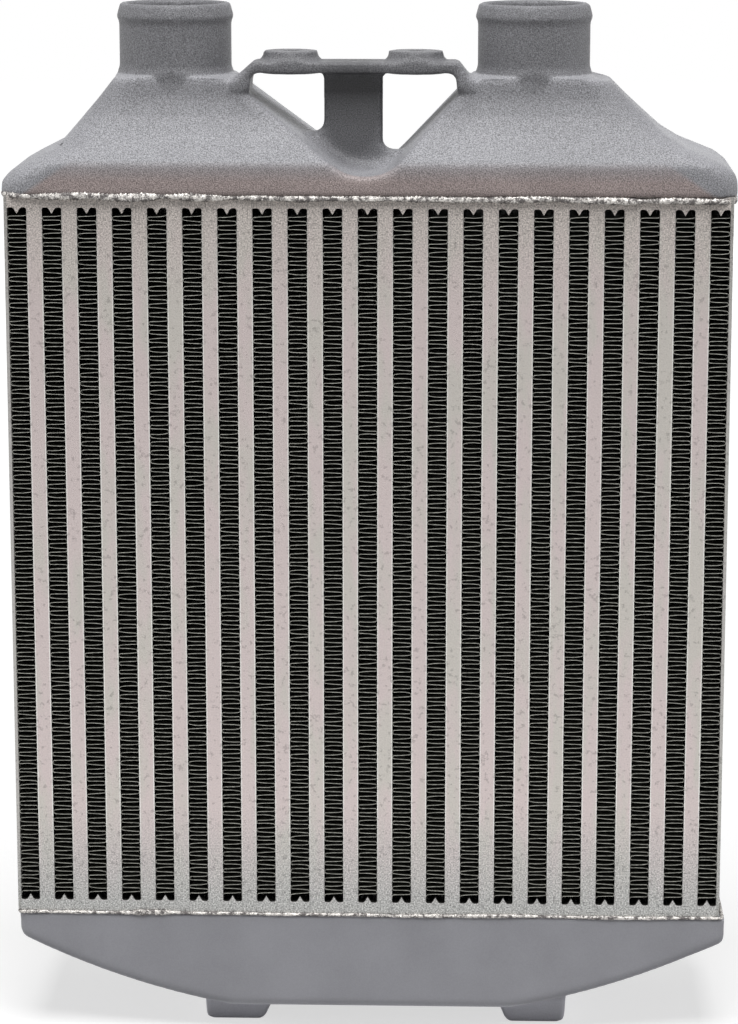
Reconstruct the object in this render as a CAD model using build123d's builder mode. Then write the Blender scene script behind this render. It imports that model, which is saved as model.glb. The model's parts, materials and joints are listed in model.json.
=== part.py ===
from build123d import *
import os
from math import atan2, cos, radians, sin, sqrt, tan

os.makedirs("parts", exist_ok=True)

# A bar-and-plate charge air cooler. Both hose spigots are on the upper tank, and a plain
# return tank is below. Charge air goes down the core's left half and comes back up its right half.
# X runs across the core, Y from its front face to its rear face, Z up.
# The origin is on the floor under the middle of the core. All sizes are in millimetres.

# ---- Driving dimensions: the core
fin_columns = 21
charge_columns = fin_columns - 1
fin_gap = 9.5  # height of a cooling fin, from sheet to sheet
charge_gap = 6.5  # height of a charge passage
sheet = 0.5  # clad separator sheet
side_plate = 1.5
core_depth = 90.0
opening_height = 350.0  # open height of the fin columns
end_bar_height = 6.0
end_bar_nose = 3.0
end_bar_nose_width = 3.4
face_bar_depth = 5.0

# ---- Driving dimensions: fins. Each modelled fold stands for several real ones and is
# thicker by the same factor, so a column holds as much metal as the real one.
fin_folds = 28
fin_strip = 0.7
fin_set_back = 1.0
turbulator_folds = 4
turbulator_strip = 0.5

# ---- Driving dimensions: levels above the floor
foot_height = 13.0
lower_tank_height = 49.0
rim_height = 15.0
funnel_height = 40.0
spigot_height = 35.0

# ---- Driving dimensions: the upper tank
upper_half_width = 178.5
upper_half_depth = 47.5
rim_wall = 7.0
neck_half_depth = 29.0
flare_lean = 36.0  # degrees off upright at the foot of the flare
rim_stations = 4  # outline stations from the core up to the crease above the rim
corner_left = [13, 14, 16, 18, 20, 18, 16, 14, 12.5]  # round of the outer corners, per station
corner_right = [13, 13, 13, 12.5, 14, 14, 13, 13, 12]
spigot_left_x = -95.9
spigot_right_x = 80.1
spigot_radius = 27.5
spigot_bore_radius = 23.25
bead_radius = 28.7
lip_radius = 26.9
spigot_foot = 3.4  # flare where the tube meets the funnel
spigot_root = 4.0  # how far the spigot reaches down into the funnel
inner_corner = 9.0  # round on the edges between a funnel's walls and its inner flank
flank_margin = 3.0  # stock that the saddle cut takes off each inner flank

# ---- Driving dimensions: the saddle between the funnels
saddle_x = 1.1
saddle_z = 427.9  # where the two straight flanks would meet
flank_left_angle = 36.8
flank_right_angle = 46.4
saddle_round = 22.0
saddle_arch = 343.0  # radius of the saddle's rise from front to rear
saddle_swing = 12.0  # degrees that the cut swings each way on that radius

# ---- Driving dimensions: the hollows of the upper tank
partition = 6.0
end_wall = 6.0  # measured level, and the walls lean, so the casting is about 4.5 mm thick
flank_wall = 8.5
chamber_levels = (0.0, 15.0, 31.0, 50.0)  # above the core
chamber_corner = 8.0
bore_overlap = 2.0  # the bores reach this far into the hollows

# ---- Driving dimensions: the bracket
bracket_front_y = -30.5
bracket_depth = 26.0
bar_thickness = 5.2
bar_top_z = 486.4
bar_end_round = 3.0
window_round = 4.0
leg_left = [(-66.8, 473.6), (-66.1, 477.6), (-56.1, bar_top_z)]
leg_left_inner = (-57.7, 473.6)
leg_right = [(43.1, bar_top_z), (50.9, 476.6), (51.6, 473.2)]
leg_right_inner = (42.7, 473.2)
leg_draft = 0.6  # the legs' inner sides lean by this much
boss_left_x = -38.4
boss_right_x = 22.6
boss_y = -16.0
boss_top_radius = 13.3
boss_base_radius = 15.0
boss_height = 4.8
boss_base_height = 0.6
boss_bevel_height = 1.8  # where the bevel between base and boss ends
boss_root = 0.8  # below the bar's underside
boss_tap_radius = 3.4  # tapping drill of an M8 thread
boss_tap_depth = 20.0  # right through the boss and the bar
post_left_x = -22.0
post_right_x = 6.5
post_depth = 10.0
post_overlap = 1.0  # the web ends this far inside the bar
web_foot_left = [(-10.0, 430.0), (-24.6, 442.0), (-24.6, 447.3)]  # it widens into the saddle
web_foot_right = [(12.2, 440.4), (12.2, 435.0), (4.0, 430.0)]
web_foot_rise = (449.0, 444.5)  # where the widening starts, left and right

# ---- Driving dimensions: the lower tank and the weld beads
lower_shift = 1.5  # the lower tank is welded on a little to the right
lower_half_width = 177.0
lower_half_depth = 46.0
lower_wall = 4.5
lower_arc_radius = 389.0
lower_arc_centre_z = 395.6
lower_corner = 5.0  # round where the belly meets the upright ends
lower_hollow_corner = 2.0
lower_edge_chamfer = 1.8
foot_half_depth = 29.0
foot_left = (-84.0, -49.5)  # outer and inner side
foot_right = (100.8, 66.3)
foot_edge_round = 2.5
foot_lean = 1.0  # the outer side leans in this much
foot_scoop = 4.0  # bevel under the inner side
bead_stand_out = 0.5
bead_bevel = 1.4
bead_half_width = 179.0
upper_bead = (-3.5, 2.5)  # lower and upper edge, measured from the joint
lower_bead = (-2.2, 2.2)
upper_bead_corner = 4.0
lower_bead_corner = 1.6
lower_bead_lap = 1.0  # how far the lower bead stands out past the core's left side

# ---- Worked out from them
pitch = fin_gap + charge_gap + 2 * sheet
core_half_width = (fin_columns * fin_gap + charge_columns * (pitch - fin_gap)) / 2 + side_plate
core_half_depth = core_depth / 2
core_bottom = foot_height + lower_tank_height
opening_bottom = core_bottom + end_bar_height
opening_top = opening_bottom + opening_height
core_top = opening_top + end_bar_height
core_height = core_top - core_bottom
crease_z = core_top + rim_height
neck_z = crease_z + funnel_height
spigot_root_z = neck_z - spigot_root
spigot_top = neck_z + spigot_height
bead_z = spigot_top - 6.5
bead_low_z = bead_z - 2.8
chamber_top_z = core_top + chamber_levels[-1]
bar_bottom_z = bar_top_z - bar_thickness
bracket_mid_y = bracket_front_y + bracket_depth / 2
fin_x = [(i - (fin_columns - 1) / 2) * pitch for i in range(fin_columns)]
charge_x = [(i - (charge_columns - 1) / 2) * pitch for i in range(charge_columns)]


def save(part, name):
    """Write one sub-part as parts/NAME.step."""
    export_step(part, f"parts/{name}.step")


def zigzag(middle, width, start, length, folds, strip):
    """Corners of a strip folded back and forth between two sheets.

    The sheets are half the width to either side of the middle. The strip's outer corners touch
    them.
    """
    step = length / folds
    crest = strip / sin(atan2(step, width))
    rising, falling = [], []
    for k in range(folds + 1):
        side = 1 if k % 2 else -1
        along = start + k * step
        outer, inner = middle + side * width / 2, middle + side * (width / 2 - crest)
        rising.append((outer if side > 0 else inner, along))
        falling.append((outer if side < 0 else inner, along))
    return rising + falling[::-1]


# ================================================================ core
# Side plates close the core's two ends.
for name, side in (("side_plate_left", -1), ("side_plate_right", 1)):
    with BuildPart(Plane.XY.offset(core_bottom)) as plate:
        with Locations((side * (core_half_width - side_plate / 2), 0)):
            Box(side_plate, core_depth, core_height, align=(Align.CENTER, Align.CENTER, Align.MIN))
    plate.part.label = name
    save(plate.part, name)

# Separator sheets stand on both sides of every charge passage.
with BuildPart(Plane.XY.offset(core_bottom)) as separator_sheets:
    for x in charge_x:
        for side in (-1, 1):
            with Locations((x + side * (charge_gap + sheet) / 2, 0)):
                Box(sheet, core_depth, core_height, align=(Align.CENTER, Align.CENTER, Align.MIN))
separator_sheets.part.label = "separator_sheets"
save(separator_sheets.part, "separator_sheets")

# Face bars close each charge passage at the front and at the rear, from top to bottom.
for name, side in (("front_face_bars", -1), ("rear_face_bars", 1)):
    with BuildPart(Plane.XY.offset(core_bottom)) as face_bars:
        with Locations(*[(x, side * (core_half_depth - face_bar_depth / 2)) for x in charge_x]):
            Box(
                charge_gap, face_bar_depth, core_height,
                align=(Align.CENTER, Align.CENTER, Align.MIN),
            )
    face_bars.part.label = name
    save(face_bars.part, name)

# End bars close each fin column above and below. Their noses point into the fins.
for name, base_z, way in (
    ("lower_end_bars", core_bottom, 1),
    ("upper_end_bars", core_top, -1),
):
    with BuildPart() as end_bars:
        for x in fin_x:
            with BuildSketch(Plane.XZ) as profile:
                with BuildLine():
                    shoulder_z = base_z + way * end_bar_height
                    Polyline(
                        (x - fin_gap / 2, base_z),
                        (x + fin_gap / 2, base_z),
                        (x + fin_gap / 2, shoulder_z),
                        (x + end_bar_nose_width / 2, shoulder_z),
                        (x, shoulder_z + way * end_bar_nose),
                        (x - end_bar_nose_width / 2, shoulder_z),
                        (x - fin_gap / 2, shoulder_z),
                        close=True,
                    )
                make_face()
            extrude(amount=core_half_depth, both=True)
    end_bars.part.label = name
    save(end_bars.part, name)

# Cooling fins: one folded strip in each column, open from front to rear.
fin_bottom = opening_bottom + end_bar_nose
fin_length = opening_height - 2 * end_bar_nose
for number, x in enumerate(fin_x, start=1):
    name = f"cooling_fin_{number:02d}"
    with BuildPart() as cooling_fin:
        with BuildSketch(Plane.XZ):
            with BuildLine():
                Polyline(
                    *zigzag(x, fin_gap, fin_bottom, fin_length, fin_folds, fin_strip), close=True
                )
            make_face()
        extrude(amount=core_half_depth - fin_set_back, both=True)
    cooling_fin.part.label = name
    save(cooling_fin.part, name)

# Charge turbulators: the same idea turned upright, open from the upper to the lower tank.
turbulator_length = core_depth - 2 * face_bar_depth
for number, x in enumerate(charge_x, start=1):
    name = f"charge_turbulator_{number:02d}"
    with BuildPart() as charge_turbulator:
        with BuildSketch(Plane.XY.offset(core_bottom)):
            with BuildLine():
                Polyline(
                    *zigzag(
                        x, charge_gap, -turbulator_length / 2, turbulator_length,
                        turbulator_folds, turbulator_strip,
                    ),
                    close=True,
                )
            make_face()
        extrude(amount=core_height)
    charge_turbulator.part.label = name
    save(charge_turbulator.part, name)


# ================================================================ upper tank
# The front and rear walls of a funnel are upright at the neck. They flare on an arc, then
# lean out straight to the crease above the rim.
flare_spread = upper_half_depth - neck_half_depth
lean = radians(flare_lean)
flare_straight = (funnel_height * (1 - cos(lean)) - flare_spread * sin(lean)) / (
    cos(lean) * (1 - cos(lean)) - sin(lean) ** 2
)
flare_radius = (funnel_height - flare_straight * cos(lean)) / sin(lean)
flare_break_z = crease_z + flare_straight * cos(lean)


def flare_y(z):
    """Half depth of a funnel at height z."""
    if z <= flare_break_z:
        return upper_half_depth - (z - crease_z) * tan(lean)
    drop = neck_z - z
    return neck_half_depth + flare_radius - sqrt(flare_radius**2 - drop**2)


def flank_x(z, side):
    """Where a funnel's straight inner flank is at height z. Side is -1 left, 1 right."""
    angle = flank_left_angle if side < 0 else flank_right_angle
    return saddle_x + side * (z - saddle_z) / tan(radians(angle))


# Outer end of the tank, from the rim's foot up to the neck: height and reach from the middle.
shoulder_left = [
    (core_top, 178.5), (430.0, 178.2), (434.5, 174.3), (crease_z, 166.4),
    (447.0, 151.2), (453.0, 145.8), (461.0, 139.0), (469.0, 132.2), (neck_z, 124.3),
]
shoulder_right = [
    (core_top, 178.5), (430.0, 178.5), (434.5, 177.3), (crease_z, 171.4),
    (447.0, 152.8), (453.0, 143.2), (461.0, 134.4), (469.0, 125.8), (neck_z, 115.7),
]


def station(z, left, right, half_depth, round_left, round_right):
    """One rounded rectangle of the casting, at height z, as a sketch to loft through."""
    with BuildSketch(Plane.XY.offset(z)) as outline:
        with Locations(((left + right) / 2, 0)):
            Rectangle(right - left, 2 * half_depth)
        fillet(outline.vertices().group_by(Axis.X)[0], round_left)
        fillet(outline.vertices().group_by(Axis.X)[-1], round_right)
    return outline.sketch


with BuildPart() as rim:
    for k in range(rim_stations):
        z = shoulder_left[k][0]
        add(
            station(
                z, -shoulder_left[k][1], shoulder_right[k][1], upper_half_depth,
                corner_left[k], corner_right[k],
            )
        )
    loft(ruled=True)

with BuildPart() as funnel_left:
    for k in range(rim_stations - 1, len(shoulder_left)):
        z, reach = shoulder_left[k]
        add(
            station(
                z, -reach, flank_x(z, -1) + flank_margin, flare_y(z), corner_left[k], inner_corner
            )
        )
    loft(ruled=True)

with BuildPart() as funnel_right:
    for k in range(rim_stations - 1, len(shoulder_right)):
        z, reach = shoulder_right[k]
        add(
            station(
                z, flank_x(z, 1) - flank_margin, reach, flare_y(z), inner_corner, corner_right[k]
            )
        )
    loft(ruled=True)

# Each spigot is turned: a flared foot, the tube, the hose bead and the lip. The foot is cut off
# level with the funnel's front and rear.
with BuildPart() as spigot:
    with BuildSketch(Plane.XZ):
        with BuildLine():
            Polyline(
                (0, spigot_root_z),
                (spigot_radius + spigot_foot, spigot_root_z),
                (spigot_radius + spigot_foot, neck_z),
                (spigot_radius, neck_z + spigot_foot),
                (spigot_radius, bead_low_z),
                (bead_radius, bead_z),
                (lip_radius, spigot_top),
                (0, spigot_top),
                close=True,
            )
        make_face()
    revolve(axis=Axis.Z)
    Box(4 * spigot_radius, 2 * neck_half_depth, 3 * spigot_top, mode=Mode.INTERSECT)

# The saddle is cut by a rounded V that swings about an axis far below the tank, so that its
# floor is highest midway between the front and the rear.
with BuildPart() as saddle_cut:
    with BuildSketch(Plane.XZ) as vee:
        with BuildLine():
            Polyline(
                (flank_x(neck_z + 1, -1), neck_z + 1),
                (saddle_x, saddle_z),
                (flank_x(neck_z + 1, 1), neck_z + 1),
                close=True,
            )
        make_face()
        fillet(vee.vertices().sort_by(Axis.Y)[0], saddle_round)
    saddle_floor_z = vee.sketch.bounding_box().min.Z
    swing_axis = Axis((0, 0, saddle_floor_z - saddle_arch), (1, 0, 0))
    revolve(axis=swing_axis, revolution_arc=saddle_swing)
    mirror(about=Plane.XZ)

# Each half of the tank is hollow, and a partition on the middle end bar parts the two.
def reach_at(shoulder, z):
    """How far the tank's outer end reaches at height z, between two stations."""
    for (z0, r0), (z1, r1) in zip(shoulder, shoulder[1:]):
        if z0 <= z <= z1:
            return r0 + (r1 - r0) * (z - z0) / (z1 - z0)


def ring(z, left, right, depth, cut):
    """Corners of a level rectangle with cut corners, going round from the front left."""
    return [
        (left + cut, -depth, z), (right - cut, -depth, z),
        (right, cut - depth, z), (right, depth - cut, z),
        (right - cut, depth, z), (left + cut, depth, z),
        (left, depth - cut, z), (left, cut - depth, z),
    ]


def chamber(side, shoulder):
    """The hollow under one funnel: flat walls between four rectangles with cut corners."""
    rings = []
    for level in chamber_levels:
        z = core_top + level
        outer = side * (reach_at(shoulder, z) - end_wall)
        inner = flank_x(z, side) + side * flank_wall
        depth = min(upper_half_depth - rim_wall, flare_y(max(z, crease_z)) - end_wall)
        if level == 0:
            outer = side * (upper_half_width - rim_wall)
            inner = side * partition / 2
        rings.append(ring(z, min(inner, outer), max(inner, outer), depth, chamber_corner))
    walls = [Face(Wire.make_polygon(rings[0])), Face(Wire.make_polygon(rings[-1]))]
    for low, high in zip(rings, rings[1:]):
        for k in range(len(low)):
            walls.append(Face(Wire.make_polygon([low[k - 1], low[k], high[k], high[k - 1]])))
    return Solid(Shell(walls))


chambers = [chamber(-1, shoulder_left), chamber(1, shoulder_right)]

# The bracket: a flat bar on two legs, bridging the funnels, with two tapped bosses on it.
with BuildPart() as bracket:
    with BuildSketch(Plane.XZ.offset(-bracket_mid_y)) as outline:
        with BuildLine():
            Polyline(
                *leg_left,
                *leg_right,
                leg_right_inner,
                (leg_right_inner[0] - leg_draft, bar_bottom_z),
                (leg_left_inner[0] + leg_draft, bar_bottom_z),
                leg_left_inner,
                close=True,
            )
        make_face()
        fillet(
            outline.vertices().filter_by(lambda v: abs(v.Y - bar_bottom_z) < 0.01), window_round
        )
        fillet(outline.vertices().filter_by(lambda v: abs(v.Y - bar_top_z) < 0.01), bar_end_round)
    extrude(amount=bracket_depth / 2, both=True)

# The web under the bar stands on the saddle floor, set back from the bar's front.
with BuildPart() as post:
    with BuildSketch(Plane.XZ.offset(-boss_y)):
        with BuildLine():
            Polyline(
                *web_foot_left,
                (post_left_x, web_foot_rise[0]),
                (post_left_x, bar_top_z - post_overlap),
                (post_right_x, bar_top_z - post_overlap),
                (post_right_x, web_foot_rise[1]),
                *web_foot_right,
                close=True,
            )
        make_face()
    extrude(amount=post_depth / 2, both=True)

with BuildPart() as boss:
    with BuildSketch(Plane.XZ):
        with BuildLine():
            Polyline(
                (0, bar_bottom_z - boss_root),
                (boss_base_radius, bar_bottom_z - boss_root),
                (boss_base_radius, bar_top_z + boss_base_height),
                (boss_top_radius, bar_top_z + boss_bevel_height),
                (boss_top_radius, bar_top_z + boss_height),
                (0, bar_top_z + boss_height),
                close=True,
            )
        make_face()
    revolve(axis=Axis.Z)

with BuildPart() as top_tank:
    add(rim.part)
    add(funnel_left.part)
    add(funnel_right.part)
    add(saddle_cut.part, mode=Mode.SUBTRACT)
    add(bracket.part)
    add(post.part)
    for x in (spigot_left_x, spigot_right_x):
        add(spigot.part.moved(Location((x, 0, 0))))
    add(chambers, mode=Mode.SUBTRACT)
    with Locations((spigot_left_x, 0, spigot_top), (spigot_right_x, 0, spigot_top)):
        Hole(spigot_bore_radius, depth=spigot_top - chamber_top_z + bore_overlap)
    for x in (boss_left_x, boss_right_x):
        add(boss.part.moved(Location((x, boss_y, 0))))
    with Locations(
        (boss_left_x, boss_y, bar_top_z + boss_height),
        (boss_right_x, boss_y, bar_top_z + boss_height),
    ):
        Hole(boss_tap_radius, depth=boss_tap_depth)
top_tank.part.label = "top_tank"
save(top_tank.part, "top_tank")

# ================================================================ lower tank
foot_root_z = foot_height + lower_wall


def lower_body(inset, half_depth):
    """The lower tank's front view, moved in by a wall, as a solid. Its belly is one wide arc."""
    radius = lower_arc_radius - inset
    half = lower_half_width - inset
    floor_z = foot_height + inset
    flat = sqrt(radius**2 - (lower_arc_centre_z - floor_z) ** 2)
    middle = (flat + half) / 2
    side_z = lower_arc_centre_z - sqrt(radius**2 - half**2)
    middle_z = lower_arc_centre_z - sqrt(radius**2 - middle**2)
    with BuildPart() as body:
        with BuildSketch(Plane.XZ) as outline:
            with BuildLine():
                right = ThreePointArc((flat, floor_z), (middle, middle_z), (half, side_z))
                top = Polyline(right @ 1, (half, core_bottom), (-half, core_bottom), (-half, side_z))
                left = ThreePointArc(top @ 1, (-middle, middle_z), (-flat, floor_z))
                Line(left @ 1, right @ 0)
            make_face()
            corners = outline.vertices().filter_by(lambda v: abs(v.Y - side_z) < 0.01)
            fillet(corners, lower_corner if inset == 0 else lower_hollow_corner)
        extrude(amount=half_depth, both=True)
    return body.part


lower_block = lower_body(0, lower_half_depth).moved(Location((lower_shift, 0, 0)))
with BuildPart() as lower_shell:
    add(lower_block)
    front_and_rear = lower_shell.faces().filter_by(Axis.Y)
    rims = front_and_rear.edges().filter_by(lambda e: e.center().Z < core_bottom - 0.01)
    chamfer(rims, lower_edge_chamfer)
lower_solid = lower_shell.part
lower_hollow = lower_body(lower_wall, lower_half_depth - rim_wall + 1)
lower_hollow = lower_hollow.moved(Location((lower_shift, 0, 0)))

with BuildPart() as bottom_tank:
    add(lower_solid)
    for outer, inner in (foot_left, foot_right):
        inward = 1 if outer < inner else -1
        with BuildSketch(Plane.XZ) as lug:
            with BuildLine():
                Polyline(
                    (outer, foot_root_z),
                    (outer + inward * foot_lean, 0),
                    (inner - inward * foot_scoop, 0),
                    (inner, foot_height - foot_scoop),
                    (inner, foot_root_z),
                    close=True,
                )
            make_face()
            fillet(lug.vertices().filter_by(lambda v: abs(v.Y) < 0.01), foot_edge_round)
        extrude(amount=foot_half_depth, both=True)
    add(lower_hollow, mode=Mode.SUBTRACT)
bottom_tank.part.label = "bottom_tank"
save(bottom_tank.part, "bottom_tank")


# ================================================================ weld beads
def weld_bead(low, high, left, right, half_depth, corner, tank):
    """A bevelled band round a joint, with the core and the tank taken out of it."""
    with BuildPart() as band:
        with BuildSketch(Plane.XY.offset(low)) as outline:
            with Locations(((left + right) / 2, 0)):
                Rectangle(right - left, 2 * half_depth)
            chamfer(outline.vertices(), corner)
        extrude(amount=high - low)
        chamfer(band.faces().filter_by(Axis.Z).edges(), bead_bevel)
        with Locations((0, 0, core_bottom)):
            Box(
                2 * core_half_width, core_depth, core_height,
                align=(Align.CENTER, Align.CENTER, Align.MIN), mode=Mode.SUBTRACT,
            )
        add(tank, mode=Mode.SUBTRACT)
    return band.part


top_weld_bead = weld_bead(
    core_top + upper_bead[0], core_top + upper_bead[1], -bead_half_width, bead_half_width,
    upper_half_depth + bead_stand_out, upper_bead_corner, rim.part,
)
top_weld_bead.label = "top_weld_bead"
save(top_weld_bead, "top_weld_bead")

bottom_weld_bead = weld_bead(
    core_bottom + lower_bead[0], core_bottom + lower_bead[1], -core_half_width - lower_bead_lap,
    bead_half_width, lower_half_depth + bead_stand_out, lower_bead_corner, lower_solid,
)
bottom_weld_bead.label = "bottom_weld_bead"
save(bottom_weld_bead, "bottom_weld_bead")
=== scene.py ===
# %% [markdown]
# # A bar-and-plate charge air cooler
# Two cast tanks are welded to a brazed core of bars, sheets and folded fins. The solids come
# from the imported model, which is loaded as a fixed frame. This file gives them finishes, and
# puts finer surfaces where the eye needs them: fins at their real spacing, nosed bars,
# rippled welds and castings with soft edges.

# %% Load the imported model
import json
import math

import bmesh
import bpy
import numpy as np
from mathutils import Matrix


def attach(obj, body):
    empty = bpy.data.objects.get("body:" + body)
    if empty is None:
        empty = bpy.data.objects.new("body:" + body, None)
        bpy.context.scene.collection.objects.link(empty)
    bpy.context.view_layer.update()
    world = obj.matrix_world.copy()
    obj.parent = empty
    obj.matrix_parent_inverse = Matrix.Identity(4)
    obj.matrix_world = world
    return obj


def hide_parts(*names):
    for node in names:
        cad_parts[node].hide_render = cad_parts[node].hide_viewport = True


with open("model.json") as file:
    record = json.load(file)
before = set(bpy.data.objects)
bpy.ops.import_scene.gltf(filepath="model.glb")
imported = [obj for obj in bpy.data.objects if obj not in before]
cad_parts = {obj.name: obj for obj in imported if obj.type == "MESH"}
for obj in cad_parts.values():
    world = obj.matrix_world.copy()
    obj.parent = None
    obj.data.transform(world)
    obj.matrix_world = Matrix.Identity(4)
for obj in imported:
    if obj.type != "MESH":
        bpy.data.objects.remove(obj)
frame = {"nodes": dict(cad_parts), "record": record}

# Sizes are in mm, with X to the right, Y to the rear and Z up. MM turns them to metres.
MM = 0.001
FIN_COLUMNS, PITCH, FIN_GAP = 21, 17.0, 9.5
CORE_LOW, CORE_HIGH, CORE_HALF_DEPTH = 62.0, 424.0, 45.0
CORE_MIDDLE_Z = (CORE_LOW + CORE_HIGH) / 2
FIN_EDGE_Y = 44.0
# The spigots stand on a plateau, each as far from the plane X = TANK_MIDDLE_X.
TANK_MIDDLE_X, SPIGOT_ASIDE = -7.9, 88.0
PLATEAU_Z = 479.0

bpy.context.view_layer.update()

# %% [markdown]
# ## Colour and node helpers
# Colours are written as sRGB hex, as a paint chart gives them. The renderer works in linear
# light, so one function turns them over. The others add the shader nodes that the finishes
# share, so that each finish reads as a few short calculations.

# %% Helpers for finishes


def linear(hex_colour):
    """sRGB hex to linear RGBA: a channel c becomes ((c + 0.055) / 1.055) ** 2.4, or c / 12.92 near black."""
    channels = np.array([int(hex_colour[i:i + 2], 16) for i in (1, 3, 5)]) / 255
    low = channels <= 0.04045
    return (*np.where(low, channels / 12.92, ((channels + 0.055) / 1.055) ** 2.4).tolist(), 1.0)


def node(tree, kind, inputs=None, **settings):
    """Adds one node. Settings are its properties; inputs give each socket a value or an output to link."""
    made = tree.nodes.new(kind)
    for key, value in settings.items():
        setattr(made, key, value)
    for key, value in (inputs or {}).items():
        if isinstance(value, bpy.types.NodeSocket):
            tree.links.new(value, made.inputs[key])
        else:
            made.inputs[key].default_value = value
    return made


def new_finish(name):
    """An empty material with its tree, its output node and the Object coordinates in metres."""
    material = bpy.data.materials.new(name)
    material.use_nodes = True
    tree = material.node_tree
    tree.nodes.clear()
    output = node(tree, "ShaderNodeOutputMaterial")
    place = node(tree, "ShaderNodeTexCoord").outputs["Object"]
    return material, tree, output, place


def surface(tree, output, inputs):
    """Ends a finish with the general surface shader."""
    shader = node(tree, "ShaderNodeBsdfPrincipled", inputs)
    tree.links.new(shader.outputs[0], output.inputs[0])


def maths(tree, operation, *values):
    """One calculation on numbers or outputs."""
    return node(tree, "ShaderNodeMath", dict(enumerate(values)), operation=operation).outputs[0]


def vector_maths(tree, operation, *values, output="Vector"):
    """One calculation on vectors or outputs."""
    return node(tree, "ShaderNodeVectorMath", dict(enumerate(values)), operation=operation).outputs[output]


def split(tree, place):
    """The X, Y and Z of a place, in metres."""
    return node(tree, "ShaderNodeSeparateXYZ", {"Vector": place}).outputs


def ramp(tree, value, span, start=0.0, end=1.0):
    """Start where value is at or below the span, end at or above it, and in proportion within it."""
    inputs = {"Value": value, "From Min": span[0], "From Max": span[1], "To Min": start, "To Max": end}
    return node(tree, "ShaderNodeMapRange", inputs).outputs[0]


def ramp_mm(tree, distance, span, start=0.0, end=1.0):
    """A ramp over a distance, which a shader has in metres. The span is in mm."""
    return ramp(tree, distance, (span[0] * MM, span[1] * MM), start, end)


NOISE_SPAN = (0.3, 0.7)  # nearly all values of a noise lie in this span


def noise(tree, place, cell_mm, detail, roughness=0.5):
    """Soft random values around 0.5. One cell of the noise is 1 / scale metres wide."""
    inputs = {"Vector": place, "Scale": 1 / (cell_mm * MM), "Detail": detail, "Roughness": roughness}
    return node(tree, "ShaderNodeTexNoise", inputs).outputs[0]


def colour_mix(tree, share, first, second):
    """The first colour where share is 0, the second where it is 1."""
    # These sockets are found by place, because the float sockets have the same names.
    return node(tree, "ShaderNodeMix", {0: share, 6: first, 7: second}, data_type="RGBA").outputs[2]


def toned(tree, colour, tone):
    """A colour times a tone."""
    return node(tree, "ShaderNodeHueSaturation", {"Color": colour, "Value": tone}).outputs[0]


def dents(tree, height, strength, depth_mm):
    """A normal that tips as a surface of that relief would."""
    inputs = {"Height": height, "Strength": strength, "Distance": depth_mm * MM}
    return node(tree, "ShaderNodeBump", inputs).outputs[0]


# %% [markdown]
# ## Cast finishes
# The upper tank is sand-cast aluminium, blasted with shot: dull, with a fine salt-and-pepper
# grain all over and a faint warm stain low on its rim. The hose spigots are turned. The upper
# tank's colour also holds painted shade, which darkens the slopes going up, the spigots, the
# bracket and most of all the web under the bracket, and a painted highlight on the plateau's
# edge. The lower tank is a smoother casting, with painted light on its feet. Both are dull
# enough that a plain diffuse colour with a soft sheen gives their look better than a bare metal would.

# %% Cast finishes
# Where the upper tank's painted shade and painted highlight change its tone, in mm, and the tones themselves
# as shares of the base colour.
UPPER_SLOPE_Z, SLOPE_SHADE_TONE = (454.0, 468.0), 0.78
LEDGE_REACH, LEDGE_HIGHLIGHT_TONE = (1.5, 4.5), 1.36
# Painted shade on the spigots and on the bracket, above the slope.
SPIGOT_SKIN, SPIGOT_SHADE_TONE = (28.4, 29.0), 0.78
BRACKET_ASIDE, BRACKET_SHADE_TONE = (48.0, 58.0), 0.65
ABOVE_SLOPE_Z = (471.0, 475.0)
# A painted shadow under the bracket's bar, darkest on the web.
UNDER_BRACKET_SHADE_CENTRE, UNDER_BRACKET_SHADE_REACH, UNDER_BRACKET_SHADE_TONE = (-8.0, -18.0, 464.0), (12.0, 25.0), 0.40
UNDER_BRACKET_SHADE_SQUEEZE = (1.0, 1.0, 0.58)
# The feet's ends, brightened with painted light, and the stain: its height, the slant that ends it and the
# rim's depth.
FOOT_Z, FOOT_LIGHT_TONE = (11.0, 16.0), 1.9
STAIN_Z, STAIN_SHARE = (431.0, 441.0), 0.9
STAIN_SLANT, STAIN_END = 1.45, (780.0, 784.0)
RIM_FACE_Y = (42.5, 45.5)
CLOUD_TONE = (0.94, 1.06)


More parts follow.
